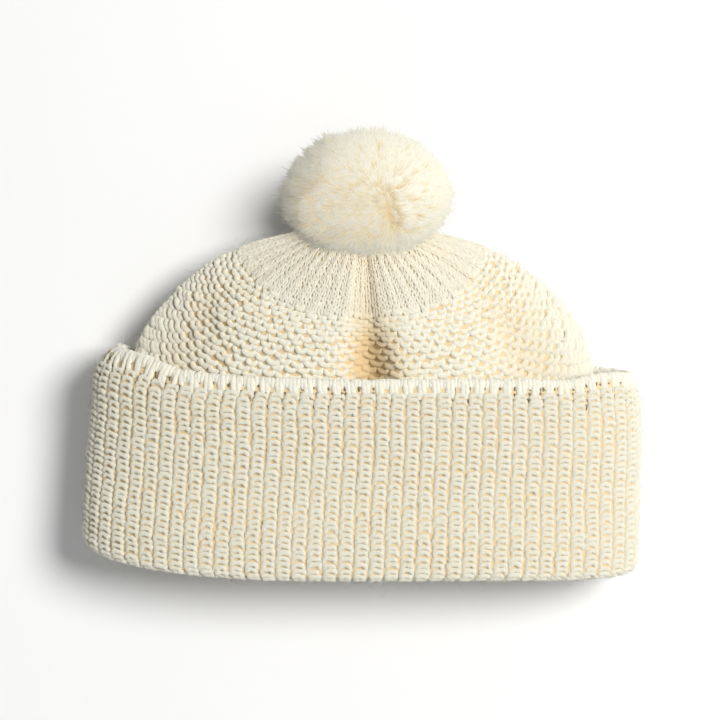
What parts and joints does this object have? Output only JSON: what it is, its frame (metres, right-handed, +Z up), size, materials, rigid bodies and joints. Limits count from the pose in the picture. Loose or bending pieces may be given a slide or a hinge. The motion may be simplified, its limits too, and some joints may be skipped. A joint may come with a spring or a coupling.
{
  "type": "knitted pompom beanie",
  "caption": "Knitted wool beanie lying flat: gathered dome crown, wide turned-up cuff and a round yarn pompom, hollow and open at the mouth.",
  "frame": {"origin": "centre of the beanie's box on the floor it lies on", "axes": "+Z up from the floor through the front face, +Y from the mouth to the pompom, +X across, to the right as the picture shows it"},
  "size_m": [0.24, 0.192, 0.0726],
  "materials": {
    "crown_knit": "matt cream wool, fine knit",
    "cuff_knit": "matt cream wool, ribbed knit",
    "pompom_yarn": "matt cream wool, cut yarn ends",
    "tie_yarn": "matt cream wool yarn"
  },
  "bodies": {
    "root": {"crown": "crown_knit", "cuff": "cuff_knit", "pompom": "pompom_yarn", "pompom_tie": "tie_yarn"}
  },
  "joints": []
}
